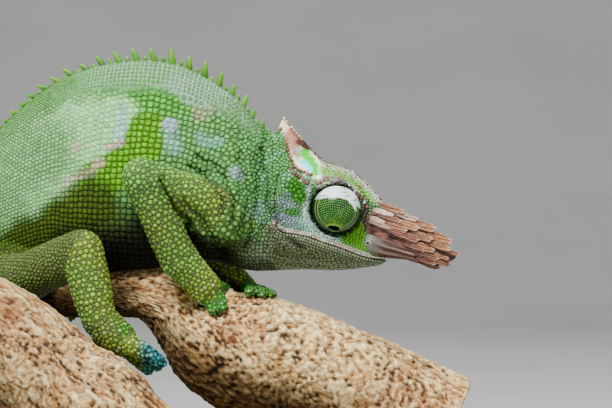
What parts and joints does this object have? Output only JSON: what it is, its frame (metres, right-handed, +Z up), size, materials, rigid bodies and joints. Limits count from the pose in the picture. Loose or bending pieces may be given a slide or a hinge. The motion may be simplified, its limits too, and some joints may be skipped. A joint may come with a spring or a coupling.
{
  "type": "chameleon model",
  "caption": "Life-size model of a green two-horned chameleon gripping two lengths of branch, head forward and tail coiled, on a flat stand with short rods.",
  "frame": {"origin": "centre of the underside of the stand's base", "axes": "+Z up; +X the way the animal faces, along the base's long side; its right side faces -Y"},
  "size_m": [0.188, 0.104, 0.1287],
  "materials": {
    "body_skin": "fine granular scales, green with mint and dark patches, satin",
    "limb_skin": "yellow-green tubercles over small grey-green granules, satin",
    "head_skin": "pale mint and green plate scales, satin",
    "jaw_skin": "rows of small olive scales, satin",
    "casque_scale": "tan and orange-pink knobs with green and white patches",
    "lid_skin": "wet-looking rings of fine green granules",
    "eyeball": "black, wet gloss",
    "horn_scale": "tan and dull pink angular scale plates",
    "claw": "dark horn",
    "spine": "yellow-green, paler at the tips",
    "bark": "rough brown bark with pale ridges and dark cracks",
    "stand_board": "matt charcoal paint",
    "stand_metal": "satin"
  },
  "bodies": {
    "root": {"head": "head_skin", "lower_jaw": "jaw_skin", "casque": "casque_scale", "horn_right": "horn_scale", "horn_left": "horn_scale", "eye_turret_right": "lid_skin", "eye_turret_left": "lid_skin", "eyeball_right": "eyeball", "eyeball_left": "eyeball", "neck": "body_skin", "torso": "body_skin", "tail_base": "body_skin", "tail_bend": "body_skin", "tail_coil_outer": "body_skin", "tail_coil_inner": "body_skin", "upper_arm_right": "limb_skin", "forearm_right": "limb_skin", "hand_right": "limb_skin", "upper_arm_left": "limb_skin", "forearm_left": "limb_skin", "hand_left": "limb_skin", "thigh_right": "limb_skin", "shin_right": "limb_skin", "foot_right": "limb_skin", "thigh_left": "limb_skin", "shin_left": "limb_skin", "foot_left": "limb_skin", "perch_front": "bark", "perch_rear": "bark", "stand_base": "stand_board", "stand_rod_front": "stand_metal", "stand_rod_rear": "stand_metal"}
  },
  "joints": []
}
